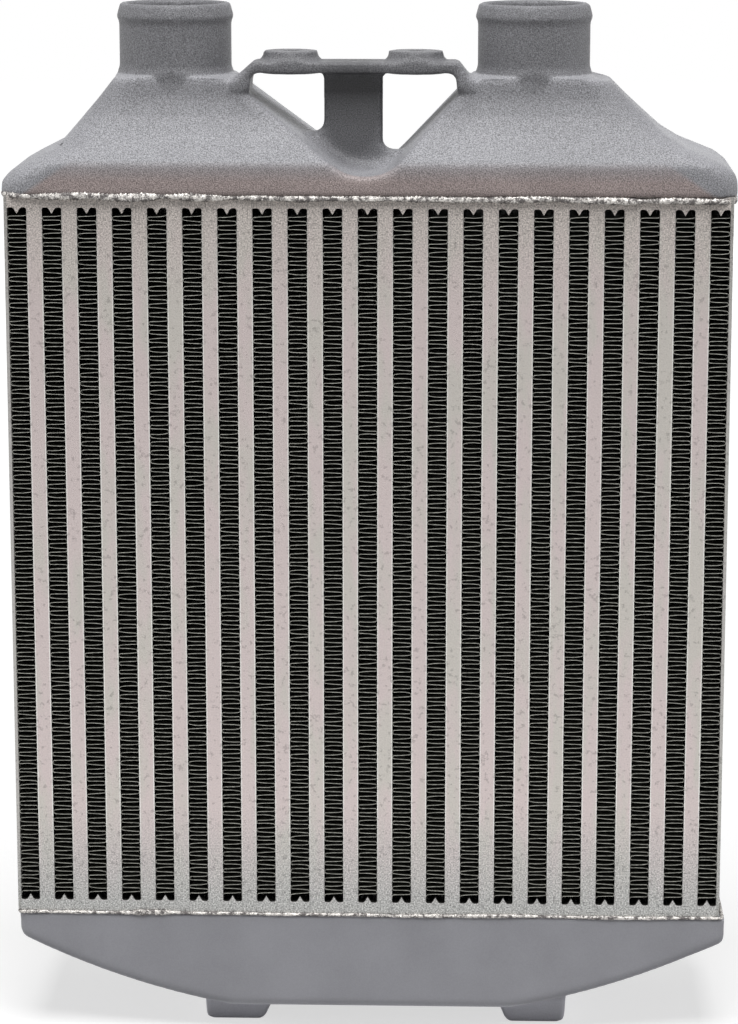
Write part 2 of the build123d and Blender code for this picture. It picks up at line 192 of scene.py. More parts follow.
def upper_tone(tree, place):
    """Tone of the upper tank, all painted shade and light: it falls going up the slope and rises again in a
    painted highlight on the plateau's edge.

    Above the slope the spigots and the bracket get painted shade, and a painted shadow lies under
    the bracket. Both spigots' axes are as far from the tank's middle plane, so one distance from
    the axis serves for the pair.
    """
    x, y, z = split(tree, place)
    # Painted shade darkens the slope going up, and a painted highlight lies on the plateau's edge.
    slope = ramp_mm(tree, z, UPPER_SLOPE_Z, 1.0, SLOPE_SHADE_TONE)
    from_ledge = maths(tree, "ABSOLUTE", maths(tree, "SUBTRACT", z, (PLATEAU_Z + 1.0) * MM))
    ledge_highlight = ramp_mm(tree, from_ledge, LEDGE_REACH, LEDGE_HIGHLIGHT_TONE, 1.0)
    aside = maths(tree, "ABSOLUTE", maths(tree, "ADD", x, -TANK_MIDDLE_X * MM))
    from_axis = maths(tree, "SUBTRACT", aside, SPIGOT_ASIDE * MM)
    flat = node(tree, "ShaderNodeCombineXYZ", {"X": from_axis, "Y": y}).outputs[0]
    radius = vector_maths(tree, "LENGTH", flat, output="Value")
    # Painted shade: the spigots and the bracket are darker.
    spigot_shade = ramp_mm(tree, radius, SPIGOT_SKIN, SPIGOT_SHADE_TONE, ledge_highlight)
    bracket = ramp_mm(tree, aside, BRACKET_ASIDE, BRACKET_SHADE_TONE, ledge_highlight)
    darker = maths(tree, "MINIMUM", spigot_shade, bracket)
    darker = maths(tree, "MAXIMUM", darker, ramp_mm(tree, z, ABOVE_SLOPE_Z, 1.0, 0.0))
    # A painted shadow under the bracket.
    from_shade_centre = vector_maths(tree, "SUBTRACT", place, [v * MM for v in UNDER_BRACKET_SHADE_CENTRE])
    from_shade_centre = vector_maths(tree, "MULTIPLY", from_shade_centre, UNDER_BRACKET_SHADE_SQUEEZE)
    from_shade_centre = vector_maths(tree, "LENGTH", from_shade_centre, output="Value")
    under_bracket_shade = ramp_mm(tree, from_shade_centre, UNDER_BRACKET_SHADE_REACH, UNDER_BRACKET_SHADE_TONE, 1.0)
    return maths(tree, "MULTIPLY", maths(tree, "MULTIPLY", slope, darker), under_bracket_shade)


def lower_tone(tree, place):
    """Tone of the lower tank: nearly twice on the feet, as painted light where they lie in shade."""
    return ramp_mm(tree, split(tree, place)["Z"], FOOT_Z, FOOT_LIGHT_TONE, 1.0)


def rim_stain(tree, place):
    """Share of the stain: it covers the rim's front and rear, fades going up and ends before the corners.

    Each end is a slant, where |x| + STAIN_SLANT z passes a limit.
    """
    x, y, z = split(tree, place)
    low = ramp_mm(tree, z, STAIN_Z, STAIN_SHARE, 0.0)
    slant = maths(tree, "MULTIPLY_ADD", z, STAIN_SLANT, maths(tree, "ABSOLUTE", x))
    inner = ramp_mm(tree, slant, STAIN_END, 1.0, 0.0)
    outer = ramp_mm(tree, maths(tree, "ABSOLUTE", y), RIM_FACE_Y)
    return maths(tree, "MULTIPLY", low, maths(tree, "MULTIPLY", inner, outer))


def cast_finish(name, base, stain, grain_mm, contrast, bump_mm, tone_of):
    """Cast aluminium: grain lightens, darkens and dents it, and tone_of gives its tone by place."""
    material, tree, output, place = new_finish(name)
    grain = noise(tree, place, grain_mm, detail=2.0, roughness=0.6)
    cloud = noise(tree, place, cell_mm=28.0, detail=3.0)
    stained = colour_mix(tree, rim_stain(tree, place), linear(base), linear(stain))
    shade = ramp(tree, grain, NOISE_SPAN, 1 - contrast, 1 + contrast)
    wide = ramp(tree, cloud, NOISE_SPAN, *CLOUD_TONE)
    tone = maths(tree, "MULTIPLY", maths(tree, "MULTIPLY", shade, wide), tone_of(tree, place))
    surface(tree, output, {
        "Base Color": toned(tree, stained, tone),
        "Normal": dents(tree, grain, strength=0.6, depth_mm=bump_mm),
        "Roughness": 0.55,
        "Specular IOR Level": 0.4,
    })
    return material


cast = cast_finish(
    "shot_blasted_cast_aluminium", "#8e8e92", "#998b88",
    grain_mm=0.6, contrast=0.62, bump_mm=0.4, tone_of=upper_tone,
)
# The lower tank has no stain, so its two colours are the same.
lower_cast = cast_finish(
    "smooth_cast_aluminium", "#9f9fa5", "#9f9fa5",
    grain_mm=0.7, contrast=0.05, bump_mm=0.04, tone_of=lower_tone,
)
print("cast finishes", cast.name, lower_cast.name)

# %% [markdown]
# ## Brazed finishes
# Bars and sheets are stacked and brazed together in a furnace, which leaves a pale mill
# finish. It clouds over in long warm and greenish streaks along each bar, with small pits.
# The ends near the tanks are dirtier from the welding. Inside the core the colour drops off to
# painted shade just behind the front and the rear face, and the lower half is paler with painted light.

# %% Brazed finishes
STREAK_SQUEEZE, STREAK_SPAN = (1.0, 1.0, 0.28), (0.46, 0.62)
GRAIN_CONTRAST = (0.42, 3.4)  # in the core's middle and at its ends
PIT_SPAN, PIT_TONE = (0.60, 0.70), 0.72
CORE_END_REACH = (125.0, 176.0)  # from the core's middle height
# Painted shade inside the core starts this far behind the face.
PAINTED_SHADE_DEPTH = (0.9, 0.3)  # behind the face
# Painted light on the core's lower half, as tones between these heights.
PAINTED_LIGHT_Z, PAINTED_LIGHT_TONE = (110.0, 410.0), (1.24, 0.87)
INSIDE_SHADE_COLOUR = "#1d1c1a"


def brazed_finish(name, warm, green, upper_end, lower_end, roughness, face_y=CORE_HALF_DEPTH):
    """Brazed aluminium: streaks drift between a warm and a greenish grey, under grain and pits.

    The lower half is paler with painted light. Towards the tanks an end's own colour takes over
    and the grain grows eight times as strong. Half a millimetre behind the face it turns to painted shade.
    """
    material, tree, output, place = new_finish(name)
    streak = node(tree, "ShaderNodeMapping", {"Vector": place, "Scale": STREAK_SQUEEZE}).outputs[0]
    cloud = noise(tree, streak, cell_mm=13.0, detail=3.0)
    grain = noise(tree, place, cell_mm=0.75, detail=2.0, roughness=0.65)
    pit = noise(tree, place, cell_mm=2.2, detail=2.0)
    spot = split(tree, place)
    tint = colour_mix(tree, ramp(tree, cloud, STREAK_SPAN), linear(warm), linear(green))
    from_middle = maths(tree, "ABSOLUTE", maths(tree, "SUBTRACT", spot["Z"], CORE_MIDDLE_Z * MM))
    near_end = ramp_mm(tree, from_middle, CORE_END_REACH)
    upper = maths(tree, "GREATER_THAN", spot["Z"], CORE_MIDDLE_Z * MM)
    end = colour_mix(tree, upper, linear(lower_end), linear(upper_end))
    tint = colour_mix(tree, near_end, tint, end)
    # Painted shade just behind the front and the rear face.
    limits = [face_y - depth for depth in PAINTED_SHADE_DEPTH]
    unshaded = ramp_mm(tree, maths(tree, "ABSOLUTE", spot["Y"]), limits)
    tint = colour_mix(tree, unshaded, linear(INSIDE_SHADE_COLOUR), tint)
    contrast = ramp(tree, near_end, (0.0, 1.0), *GRAIN_CONTRAST)
    shade = maths(tree, "MULTIPLY_ADD", maths(tree, "SUBTRACT", grain, 0.5), contrast, 1.0)
    pitted = ramp(tree, pit, PIT_SPAN, 1.0, PIT_TONE)
    # Painted light, brighter towards the lower end.
    painted_light = ramp_mm(tree, spot["Z"], PAINTED_LIGHT_Z, *PAINTED_LIGHT_TONE)
    tone = maths(tree, "MULTIPLY", maths(tree, "MULTIPLY", shade, pitted), painted_light)
    surface(tree, output, {
        "Base Color": toned(tree, tint, tone),
        "Normal": dents(tree, grain, strength=0.3, depth_mm=0.06),
        "Roughness": roughness,
        "Metallic": 0.15,
    })
    return material


bar_metal = brazed_finish(
    "brazed_bar_aluminium", warm="#d5c8c6", green="#cdc8c1",
    upper_end="#c8c0ba", lower_end="#b4b4b2", roughness=0.5,
)
sheet_metal = brazed_finish(
    "clad_sheet_edge", warm="#f2eeea", green="#efeee8",
    upper_end="#b3ada8", lower_end="#a5a5a3", roughness=0.4,
)
# A side plate is seen on its whole outer side, so none of it gets the painted shade of the core's inside.
plate_metal = brazed_finish(
    "side_plate_aluminium", warm="#bcb9b6", green="#b9b8b3",
    upper_end="#a19e9a", lower_end="#a3a3a0", roughness=0.5, face_y=0.0,
)
print("brazed finishes", bar_metal.name, sheet_metal.name, plate_metal.name)

# %% [markdown]
# ## Weld and foil
# A weld bead is bright, half-polished metal that freezes in folds, with grey scale in them.
# Fins are thin rolled foil: bright on the cut edge, with painted shade between the folds.

# %% Weld and foil finishes
CLEAN_SPAN = (0.20, 0.31)  # of wrinkle times patch
FOIL_TONE = (0.65, 1.35)


def weld_finish(name, bright, scale_colour):
    """Weld metal: grey scale lies in patches and in the hollows of a fine wrinkle."""
    material, tree, output, place = new_finish(name)
    wrinkle = noise(tree, place, cell_mm=0.8, detail=3.0, roughness=0.7)
    patch = noise(tree, place, cell_mm=3.0, detail=2.0)
    clean = ramp(tree, maths(tree, "MULTIPLY", wrinkle, patch), CLEAN_SPAN)
    surface(tree, output, {
        "Base Color": colour_mix(tree, clean, linear(scale_colour), linear(bright)),
        "Normal": dents(tree, wrinkle, strength=0.9, depth_mm=0.5),
        "Roughness": 0.38,
        "Metallic": 0.7,
    })
    return material


def foil_finish(name, cut, face, edge_y, fade):
    """Rolled foil: bright on the cut edges at front and rear, and painted shade a fade's length behind them.
    """
    material, tree, output, place = new_finish(name)
    # Behind the cut edge the foil takes the face colour, which is painted shade.
    outward = ramp_mm(tree, maths(tree, "ABSOLUTE", split(tree, place)["Y"]), (edge_y - fade, edge_y))
    tint = colour_mix(tree, outward, linear(face), linear(cut))
    shade = ramp(tree, noise(tree, place, cell_mm=1.6, detail=1.0), NOISE_SPAN, *FOIL_TONE)
    surface(tree, output, {"Base Color": toned(tree, tint, shade), "Roughness": 0.45, "Metallic": 0.4})
    return material


weld_metal = weld_finish("bright_weld_aluminium", bright="#dcd8d3", scale_colour="#656160")
# The face colour is painted shade, for the foil deep between the folds.
foil = foil_finish("rolled_fin_foil", cut="#adada5", face="#55564f", edge_y=FIN_EDGE_Y, fade=0.35)
by_slot = {
    "cast_tank": cast, "lower_tank": lower_cast, "weld": weld_metal,
    "bar": bar_metal, "sheet": sheet_metal, "fin": foil,
}
for part in frame["record"]["subparts"]:
    solid = frame["nodes"][part["node"]]
    solid.data.materials.clear()
    plain_side = part["node"].startswith("side_plate")
    solid.data.materials.append(plate_metal if plain_side else by_slot[part["material_slot"]])
print("finishes", len(bpy.data.materials))

# %% [markdown]
# ## A piece from arrays
# Every new piece is worked out as whole arrays and handed to Blender in one go. A grid of
# points becomes quads whose corners are neighbours in the grid.

# %% Mesh helpers


def placed(name, mesh, finish, replaced):
    """An object at the origin that rides on the one body and stands in for a solid."""
    mesh.materials.clear()
    mesh.materials.append(finish)
    made = bpy.data.objects.new(name, mesh)
    bpy.context.collection.objects.link(made)
    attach(made, "root")
    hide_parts(replaced)
    return made


def piece(name, points, faces, finish, replaced, smooth=True):
    """A piece from points in mm and faces."""
    mesh = bpy.data.meshes.new(name)
    mesh.from_pydata((np.asarray(points) * MM).tolist(), [], [list(f) for f in faces])
    mesh.validate()
    mesh.polygons.foreach_set("use_smooth", np.full(len(mesh.polygons), smooth))
    return placed(name, mesh, finish, replaced)


def grid_quads(rows, columns, wrap_columns=False, wrap_rows=False):
    """Quads between neighbours in a rows x columns grid, closed round in either direction if asked."""
    r = np.arange(rows if wrap_rows else rows - 1)[:, None]
    c = np.arange(columns if wrap_columns else columns - 1)[None, :]
    corner = lambda i, j: (i % rows) * columns + (j % columns)
    quads = np.stack([corner(r, c), corner(r, c + 1), corner(r + 1, c + 1), corner(r + 1, c)], axis=-1)
    return quads.reshape(-1, 4)


def column_middle(column):
    """X of the middle of a fin column. Column 0 is at the far left."""
    return (column - (FIN_COLUMNS - 1) / 2) * PITCH


print("first and last column at", column_middle(0), column_middle(FIN_COLUMNS - 1))

# %% [markdown]
# ## Cooling fins
# One strip of foil is folded back and forth between two sheets, about 2.1 mm a fold. Seen
# from the front, each fold is a thin bright line, nearly level, that flicks up or down where
# it meets the sheet. No two folds are quite alike. The foil is 0.16 mm thick on the real
# core and 0.22 mm here, because a thinner line would break up in the picture.

# %% Make the fins
END_CLEARANCE = 9.2  # from the core's end to the first fold
FIN_LOW, FIN_HIGH = CORE_LOW + END_CLEARANCE, CORE_HIGH - END_CLEARANCE
FIN_FOLDS = 161
FOIL = 0.22
# One fold: how far across it is, from -1 to 1, and how far up the fold's own pitch.
ACROSS = np.array([-1.0, -0.95, -0.84, -0.3, 0.3, 0.84, 0.95])
RISE = np.array([0.0, 0.27, 0.42, 0.48, 0.52, 0.58, 0.73])
FLICK = 0.9  # beyond this share across, a fold is a bend that keeps its place
TILT_SPREAD, BOW_SPREAD = 0.045, 0.08
# From front to rear, every second section of the strip is a little higher.
DEPTHS = np.array([-FIN_EDGE_Y, -15.0, 15.0, FIN_EDGE_Y])
WAVE = 0.5
FIRST_FIN_SEED = 100


def fin_strip(middle, seed):
    """Points of one folded strip as (around the section, depth).

    The middle line goes across by ACROSS, turned round on every second fold, and climbs by RISE
    in each fold. Each fold's tilt and bow are moved a little at random. The section is the
    middle line moved half the foil's thickness to each side along its normal.
    """
    chance = np.random.default_rng(seed)
    fold = np.arange(FIN_FOLDS)[:, None]
    turn = np.where(fold % 2 == 0, 1.0, -1.0)
    step = (FIN_HIGH - FIN_LOW) / FIN_FOLDS
    tilt = chance.normal(0, TILT_SPREAD, (FIN_FOLDS, 1)) * ACROSS
    bow = chance.normal(0, BOW_SPREAD, (FIN_FOLDS, 1)) * (1 - ACROSS**2)
    x = middle + turn * ACROSS * (FIN_GAP / 2 - FOIL / 2)
    z = FIN_LOW + step * (fold + RISE + (tilt + bow) * (np.abs(ACROSS) < FLICK))
    line = np.stack([x.ravel(), z.ravel()], axis=1)
    along = np.gradient(line, axis=0)
    along /= np.linalg.norm(along, axis=1)[:, None]
    side = np.stack([-along[:, 1], along[:, 0]], axis=1) * FOIL / 2
    section = np.concatenate([line + side, (line - side)[::-1]])
    points = np.empty((len(section), len(DEPTHS), 3))
    points[..., 0] = section[:, :1]
    points[..., 1] = DEPTHS
    points[..., 2] = section[:, 1:] + np.where(np.arange(len(DEPTHS)) % 2 == 0, 0.0, WAVE)
    return points


for column in range(FIN_COLUMNS):
    points = fin_strip(column_middle(column), FIRST_FIN_SEED + column)
    around, deep = points.shape[:2]
    walls = grid_quads(around, deep, wrap_rows=True)
    # The front and rear edges are bands between the two sides of the foil.
    near = np.arange(around // 2 - 1)
    far = around - 1 - near
    front = np.stack([near, near + 1, far - 1, far], axis=1) * deep
    rear = front[:, ::-1] + deep - 1
    faces = np.concatenate([walls, front, rear]).tolist()
    solid_name = f"cooling_fin_{column + 1:02d}"
    piece(f"fin_column_{column + 1:02d}", points.reshape(-1, 3), faces, foil, solid_name, smooth=False)
print("fin triangles", 2 * FIN_COLUMNS * (len(walls) + 2 * len(front)))

# %% [markdown]
# ## Nosed end bars
# A fin column is closed above and below by an extruded bar. Its inner side has a pointed nose
# in the middle and a small lip along each sheet, with a hollow between them, which holds the
# molten braze. The same outline is carried from front to rear for every column at once.

# %% Make the end bars
# Half the outline, from the sheet to the middle, as (across, inward from the core's end).
HALF_NOSE = np.array([
    (FIN_GAP / 2, 0.0), (FIN_GAP / 2, 6.8), (4.5, 6.35), (4.1, 6.05), (3.6, 6.0), (2.4, 6.0),
    (1.75, 6.25), (1.15, 7.0), (0.5, 8.2), (0.0, 9.0),
])


def end_bars(name, base, way, replaced):
    """Bars for every column: the half outline is mirrored, shifted column by column, and swept in Y.

    Way is 1 for bars that point up from their base height and -1 for bars that point down.
    """
    outline = np.concatenate([HALF_NOSE * (-1, 1), HALF_NOSE[-2::-1]])
    count = len(outline)
    points = np.empty((FIN_COLUMNS, 2, count, 3))
    points[..., 0] = column_middle(np.arange(FIN_COLUMNS))[:, None, None] + outline[:, 0]
    points[..., 1] = np.array([-1, 1])[:, None] * CORE_HALF_DEPTH
    points[..., 2] = base + way * outline[:, 1]
    ring = np.arange(count)
    walls = np.stack([ring, (ring + 1) % count, (ring + 1) % count + count, ring + count], axis=1)
    faces = []
    for start in range(0, FIN_COLUMNS * 2 * count, 2 * count):
        one = [list(f) for f in walls + start] + [list(ring[::-1] + start), list(ring + count + start)]
        faces += [f[::-1] for f in one] if way > 0 else one
    piece(name, points.reshape(-1, 3), faces, bar_metal, replaced, smooth=False)
    print(name, "outline points", count, "columns", FIN_COLUMNS)


end_bars("lower_nosed_bars", CORE_LOW, 1, "lower_end_bars")
end_bars("upper_nosed_bars", CORE_HIGH, -1, "upper_end_bars")

# %% [markdown]
# ## Weld beads
# Each tank is welded to the core by hand. The pool freezes in overlapping ripples, and the
# bead wanders and swells where the welder paused. It is a round section carried round the
# joint: its radius and height drift slowly, and ripples of about 2 mm run across it.

# %% Make the weld beads
BEAD_STEP, BEAD_SIDES = 0.5, 14
RIPPLE_PITCH, RIPPLE_DRIFT = 2.1, 2.5  # the drift is in radians
# Steps of the path between two random values.
RIPPLE_SPACING, SWELL_SPACING, WANDER_SPACING = 24, 22, 40
THINNEST, ROUGHNESS = 0.45, 0.10  # shares of the radius
JOINT_FACE_Y = 45.8


def smooth_noise(length, spacing, seed):
    """A closed line of soft random values: one every so many samples, joined by cosine steps."""
    chance = np.random.default_rng(seed)
    knots = chance.normal(0, 1, int(length / spacing))
    at = np.arange(length) / length * len(knots)
    low = at.astype(int) % len(knots)
    blend = (1 - np.cos(np.pi * (at - at.astype(int)))) / 2
    return knots[low] * (1 - blend) + knots[(low + 1) % len(knots)] * blend


def direction(angle):
    """The unit vector (cos angle, sin angle)."""
    return np.stack([np.cos(angle), np.sin(angle)], axis=-1)


def joint_path(left, right, corner):
    """Points and outward directions round a rectangle with round corners, one every step of length.

    Each turn of the loop is one corner and the straight run after it.
    """
    low_x, high_x, high_y = left + corner, right - corner, JOINT_FACE_Y - corner
    middles = np.array([(high_x, -high_y), (high_x, high_y), (low_x, high_y), (low_x, -high_y)])
    quarter = math.pi / 2
    spots, ways = [], []
    for k in range(4):
        bend_steps = int(corner * quarter / BEAD_STEP)
        turn = direction(np.linspace((k - 1) * quarter, k * quarter, bend_steps, endpoint=False))
        spots.append(middles[k] + corner * turn)
        ways.append(turn)
        out = direction(k * quarter)
        near, far = middles[k] + corner * out, middles[(k + 1) % 4] + corner * out
        run_steps = int(np.linalg.norm(far - near) / BEAD_STEP)
        along = np.linspace(0, 1, run_steps, endpoint=False)[:, None]
        spots.append(near + along * (far - near))
        ways.append(np.broadcast_to(out, (run_steps, 2)))
    return np.concatenate(spots), np.concatenate(ways)


def weld_bead(name, replaced, path, height, climb, radius, swell, wander, ripple, seed, limit, blobs):
    """A rippled bead: at every point of the path, a circle in the plane of the outward way and up.

    The radius is a base plus slow swell plus ripples. The centre's height wanders and climbs
    with X. Each blob (x, width, height) adds a hump at the front. Limit is the furthest X and
    Y that the bead may reach.
    """
    spots, ways = path
    count = len(spots)
    phase = np.arange(count) * 2 * math.pi * BEAD_STEP / RIPPLE_PITCH
    ripples = np.sin(phase + RIPPLE_DRIFT * smooth_noise(count, RIPPLE_SPACING, seed + 3))
    size = radius + swell * smooth_noise(count, SWELL_SPACING, seed) + ripple * ripples
    for x, width, extra in blobs:
        size = size + extra * np.exp(-(((spots[:, 0] - x) / width) ** 2)) * (spots[:, 1] < 0)
    size = np.clip(size, THINNEST * radius, None)
    middle = height + climb * spots[:, 0] + wander * smooth_noise(count, WANDER_SPACING, seed + 1)
    angle = np.arange(BEAD_SIDES) * 2 * math.pi / BEAD_SIDES
    rough = 1 + ROUGHNESS * np.random.default_rng(seed + 2).normal(0, 1, (count, BEAD_SIDES))
    reach = size[:, None] * np.cos(angle) * rough
    points = np.empty((count, BEAD_SIDES, 3))
    points[..., :2] = spots[:, None, :] + reach[..., None] * ways[:, None, :]
    points[..., 2] = middle[:, None] + size[:, None] * np.sin(angle) * rough
    points[..., :2] = np.clip(points[..., :2], -np.array(limit), limit)
    faces = grid_quads(count, BEAD_SIDES, wrap_columns=True, wrap_rows=True).tolist()
    piece(name, points.reshape(-1, 3), faces, weld_metal, replaced)
    print(name, "sections", count)


weld_bead(
    "upper_weld", "top_weld_bead", joint_path(-176.3, 176.3, corner=9.0),
    height=423.1, climb=-0.0058, radius=1.6, swell=0.32, wander=0.35, ripple=0.16, seed=11,
    limit=(178.9, 47.95), blobs=((-112, 14, 0.7), (-85, 9, 0.5), (-140, 8, 0.4)),
)
weld_bead(
    "lower_weld", "bottom_weld_bead", joint_path(-175.6, 177.8, corner=2.0),
    height=61.9, climb=0.0, radius=0.88, swell=0.12, wander=0.15, ripple=0.06, seed=31,
    limit=(178.9, 46.9), blobs=((-113, 6, 0.9), (-104, 4, 0.5)),
)

# %% [markdown]
# ## Castings with soft edges
# A sand casting has no sharp edge: the pattern is rounded so that the sand doesn't crumble.
# The solid's own form is kept. A copy is rebuilt from small cubes, then each point moves
# towards the middle of its neighbours a few times, which rounds the edges by about 3 mm.
# Thin or turned features, such as the hose bead and the bosses, move less.

# %% Tools for a softened casting


def smoothstep(t):
    """0 below 0, 1 above 1, and 3t^2 - 2t^3 between."""
    t = np.clip(t, 0.0, 1.0)
    return t * t * (3.0 - 2.0 * t)


def joined(mesh, fillets):
    """Adds closed shapes to a mesh: grids of rings in mm, with a face over the first and the last ring."""
    shapes = bmesh.new()
    shapes.from_mesh(mesh)
    for rings in fillets:
        rows, columns = rings.shape[:2]
        corners = [shapes.verts.new(tuple(corner)) for corner in rings.reshape(-1, 3) * MM]
        first, last = range(columns), range((rows - 1) * columns, rows * columns)
        sides = grid_quads(rows, columns, wrap_columns=True).tolist()
        for face in sides + [list(first)[::-1], list(last)]:
            shapes.faces.new([corners[k] for k in face])
    shapes.to_mesh(mesh)
    shapes.free()


def rebuilt(mesh, voxel):
    """The surface of a mesh, rebuilt from cubes of that size, which fuses all that overlaps."""
    shape = bpy.data.objects.new("source", mesh)
    bpy.context.collection.objects.link(shape)
    merge = shape.modifiers.new("merge", "WELD")
    merge.merge_threshold = 0.01 * MM
    remesh = shape.modifiers.new("rebuild", "REMESH")
    remesh.mode, remesh.voxel_size, remesh.adaptivity = "VOXEL", voxel * MM, 0.0
    graph = bpy.context.evaluated_depsgraph_get()
    made = bpy.data.meshes.new_from_object(shape.evaluated_get(graph))
    bpy.data.objects.remove(shape)
    return made


def softened(name, source, fillets, voxel, passes, move, weight, finish):
    """A rounded copy of a CAD solid.

    The fillets are joined to the copy and its surface is rebuilt. Move then shifts a few forms.
    Last, in each pass, every point goes by its weight towards the mean of the points
    it shares an edge with.
    """
    mesh = frame["nodes"][source].data.copy()
    joined(mesh, fillets)
    mesh = rebuilt(mesh, voxel)
    count = len(mesh.vertices)
    points = np.empty(count * 3)
    mesh.vertices.foreach_get("co", points)
    points = points.reshape(-1, 3)
    ends = np.empty(len(mesh.edges) * 2, dtype=int)
    mesh.edges.foreach_get("vertices", ends)
    a, b = ends.reshape(-1, 2).T
    neighbours = np.bincount(a, minlength=count) + np.bincount(b, minlength=count)
    points = move(points / MM) * MM
    share = weight(points / MM)[:, None]
    for _ in range(passes):
        total = [np.bincount(a, points[b, k], count) + np.bincount(b, points[a, k], count) for k in range(3)]
        points += share * (np.stack(total, axis=1) / neighbours[:, None] - points)
    mesh.vertices.foreach_set("co", points.ravel())
    mesh.polygons.foreach_set("use_smooth", np.ones(len(mesh.polygons), dtype=bool))
    placed(name, mesh, finish, source)
    print(name, "triangles", 2 * len(mesh.polygons))


# %% [markdown]
# ## The web's fillets
# The bracket's web stands in the saddle between the two funnels. A cove runs along its foot
# at the front and at the rear, and each window beside it has a round low corner.

# %% Fillets of the upper tank
WEB_LEFT_X, WEB_RIGHT_X = -22.0, 6.5
WEB_FRONT_Y, WEB_REAR_Y = -20.9, -11.1
LEFT_CORNER_Z, RIGHT_CORNER_Z = 452.6, 443.6  # the windows' lowest points
COVE_LEFT_X, COVE_RIGHT_X = -32.0, 16.0
COVE_RADIUS, COVE_SECTIONS = 5.5, 33
# The saddle at y = 0: flanks that fall to the lowest point at their angles, and an arc between.
SADDLE_X, SADDLE_Z, LEFT_FALL, RIGHT_FALL = 1.1, 427.9, math.radians(36.8), math.radians(46.4)
SADDLE_ARC_X, SADDLE_ARC_Z, SADDLE_RADIUS = -1.36, 457.2, 22.0
SADDLE_ARC_FROM, SADDLE_ARC_TO = -14.5, 14.6
CROWN_RADIUS = 343.0  # of the saddle from front to rear
# A fillet's other corners are hidden inside the casting.
FLANK_SINK, WEB_SINK = 1.5, 9.0  # under a window's low corner, at the flank and inside the web
COVE_IN_WEB, COVE_UNDER, COVE_THINNEST = 2.0, 3.0, 0.3


def saddle_height(x):
    """Height of the saddle's floor at y = 0: two straight flanks and an arc that touches both."""
    left, right = (SADDLE_X - x) * math.tan(LEFT_FALL), (x - SADDLE_X) * math.tan(RIGHT_FALL)
    flanks = SADDLE_Z + np.where(x < SADDLE_X, left, right)
    arc = SADDLE_ARC_Z - np.sqrt(np.clip(SADDLE_RADIUS**2 - (x - SADDLE_ARC_X) ** 2, 0.0, None))
    return np.where((x > SADDLE_ARC_FROM) & (x < SADDLE_ARC_TO), arc, flanks)


def corner_fillet(edge_x, side, bottom, radius, far_x):
    """Fills a window's low corner: an arc from the web's edge down to a level run out to the flank."""
    turn = np.linspace(0.0, math.pi / 2, 7)
    arc = [(edge_x + side * radius * (1 - math.cos(t)), bottom + radius * (1 - math.sin(t))) for t in turn]
    inside_x = edge_x - side
    run_out = [(far_x, bottom), (far_x, bottom - FLANK_SINK), (inside_x, bottom - WEB_SINK)]
    outline = [(inside_x, bottom + radius), *arc, *run_out]
    return np.array([[(x, y, z) for x, z in outline] for y in (WEB_FRONT_Y, WEB_REAR_Y)])


def foot_fillet(face_y, side):
    """A cove where the web's front or rear face meets the saddle, thinner where the web runs out.

    Each section is an arc that is hollow towards the corner, closed by points inside the web
    and under the floor.
    """
    x = np.linspace(COVE_LEFT_X, COVE_RIGHT_X, COVE_SECTIONS)
    floor = saddle_height(x) - (CROWN_RADIUS - math.sqrt(CROWN_RADIUS**2 - face_y**2))
    top = np.where(x < WEB_LEFT_X, LEFT_CORNER_Z, np.where(x > WEB_RIGHT_X, RIGHT_CORNER_Z, np.inf))
    radius = np.clip(top - floor, COVE_THINNEST, COVE_RADIUS)[:, None]
    turn = np.linspace(0.0, math.pi / 2, 6)
    in_web, under = np.full_like(radius, -COVE_IN_WEB), np.full_like(radius, -COVE_UNDER)
    out = np.concatenate([radius * (1 - np.sin(turn)), in_web, in_web, radius], axis=1)
    up = np.concatenate([radius * (1 - np.cos(turn)), radius, under, under], axis=1)
    along = np.broadcast_to(x[:, None], out.shape)
    return np.stack([along, face_y + side * out, floor[:, None] + up], axis=-1)


upper_fillets = [
    corner_fillet(WEB_LEFT_X, -1, LEFT_CORNER_Z, radius=4.9, far_x=COVE_LEFT_X),
    corner_fillet(WEB_RIGHT_X, 1, RIGHT_CORNER_Z, radius=4.6, far_x=COVE_RIGHT_X),
    foot_fillet(WEB_FRONT_Y, -1), foot_fillet(WEB_REAR_Y, 1),
]
print("fillets", len(upper_fillets), "of", [rings.shape[:2] for rings in upper_fillets])

# %% [markdown]
# ## Forms moved
# A pattern is dressed by hand before it goes into the sand. Here a few forms are moved: the slopes
# lean back a little below the plateau, the spigots' feet turn more sharply, and the bracket
# and the saddle sit higher.

# %% Forms moved
# A smooth step is written as (start, length).
# The slopes lean back from LEAN_Z up to the plateau, on both sides of the bracket.
LEAN, LEAN_Z, LEAN_FULL_Y = 1.4, 455.0, 20.0
BESIDE_BRACKET = (56.0, 6.0)
PLATEAU_HALF_DEPTH, PLATEAU_LEFT_X, PLATEAU_RIGHT_X = 27.9, -124.8, 109.0
# A spigot's foot, between two radii, and the share of its spread that is taken away.
FOOT_TOP_Z, FOOT_INNER, FOOT_OUTER = 484.0, 28.0, 32.0
FOOT_PULL, FOOT_PULL_STEP = 0.65, (479.2, 0.9)
BRACKET_X, BRACKET_HALF_WIDTH, BRACKET_FRONT_Y, BRACKET_REAR_Y = -8.0, 61.5, -31.5, -3.5
BRACKET_LIFT, BRACKET_LIFT_STEP, BRACKET_FADE = 0.6, (470.0, 10.0), 5.0
# The saddle's floor is lifted in a soft hump across X, between two heights.
FLOOR_X, FLOOR_WIDTH, FLOOR_LIFT = -1.0, 11.0, 1.0
FLOOR_FROM_STEP, FLOOR_TO_STEP = (426.0, 5.0), (440.0, 10.0)
# The lower tank's right end.
RIGHT_END_REACH, RIGHT_END_STEP, FURTHEST_X = 1.2, (160.0, 17.0), 178.9


